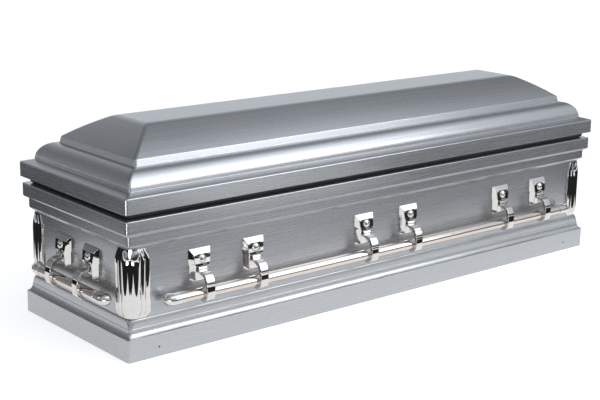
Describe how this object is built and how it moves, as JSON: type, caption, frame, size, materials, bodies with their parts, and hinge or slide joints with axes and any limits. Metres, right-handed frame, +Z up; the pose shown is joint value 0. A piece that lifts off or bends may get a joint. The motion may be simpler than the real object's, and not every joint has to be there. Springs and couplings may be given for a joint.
{
  "type": "funeral casket",
  "caption": "Sheet-steel casket with a one-piece domed lid on a stepped ogee, a wide flared base, reeded chrome corner pieces and swinging bar handles on all four sides.",
  "frame": {"origin": "middle of the underside, on the floor", "axes": "+X along the casket to the right seen from the front, +Y to the back, +Z up; the front long side faces -Y"},
  "size_m": [2.1586, 0.6946, 0.655],
  "materials": {
    "brushed_steel": "brushed lengthwise under clear lacquer, silver with a blue-grey cast",
    "chrome": "polished chrome",
    "nickel": "polished nickel, slightly warm",
    "rubber": "matt black"
  },
  "bodies": {
    "casket": {"base_moulding": "brushed_steel", "casket_body": "brushed_steel", "floor_pan": "brushed_steel", "body_moulding": "brushed_steel", "gasket": "rubber", "lid": "brushed_steel", "corner_front_left": "chrome", "corner_front_right": "chrome", "corner_back_right": "chrome", "corner_back_left": "chrome", "front_ear_1": "chrome", "front_ear_2": "chrome", "front_ear_3": "chrome", "front_ear_4": "chrome", "front_ear_5": "chrome", "front_ear_6": "chrome", "right_ear_1": "chrome", "right_ear_2": "chrome", "back_ear_1": "chrome", "back_ear_2": "chrome", "back_ear_3": "chrome", "back_ear_4": "chrome", "back_ear_5": "chrome", "back_ear_6": "chrome", "left_ear_1": "chrome", "left_ear_2": "chrome"},
    "front_handle": {"front_arm_1": "chrome", "front_arm_2": "chrome", "front_arm_3": "chrome", "front_arm_4": "chrome", "front_arm_5": "chrome", "front_arm_6": "chrome", "front_bar": "nickel", "front_tip_left": "chrome", "front_tip_right": "chrome"},
    "right_handle": {"right_arm_1": "chrome", "right_arm_2": "chrome", "right_bar": "nickel", "right_tip_left": "chrome", "right_tip_right": "chrome"},
    "back_handle": {"back_arm_1": "chrome", "back_arm_2": "chrome", "back_arm_3": "chrome", "back_arm_4": "chrome", "back_arm_5": "chrome", "back_arm_6": "chrome", "back_bar": "nickel", "back_tip_left": "chrome", "back_tip_right": "chrome"},
    "left_handle": {"left_arm_1": "chrome", "left_arm_2": "chrome", "left_bar": "nickel", "left_tip_left": "chrome", "left_tip_right": "chrome"}
  },
  "joints": [
    {"name": "front_handle_hinge", "type": "hinge", "parent": "casket", "child": "front_handle", "pos_m": [0, -0.295, 0.24], "axis": [-1, 0, 0], "range_deg": [0, 75]},
    {"name": "right_handle_hinge", "type": "hinge", "parent": "casket", "child": "right_handle", "pos_m": [1.027, 0, 0.24], "axis": [0, -1, 0], "range_deg": [0, 75]},
    {"name": "back_handle_hinge", "type": "hinge", "parent": "casket", "child": "back_handle", "pos_m": [0, 0.295, 0.24], "axis": [1, 0, 0], "range_deg": [0, 75]},
    {"name": "left_handle_hinge", "type": "hinge", "parent": "casket", "child": "left_handle", "pos_m": [-1.027, 0, 0.24], "axis": [0, 1, 0], "range_deg": [0, 75]}
  ]
}
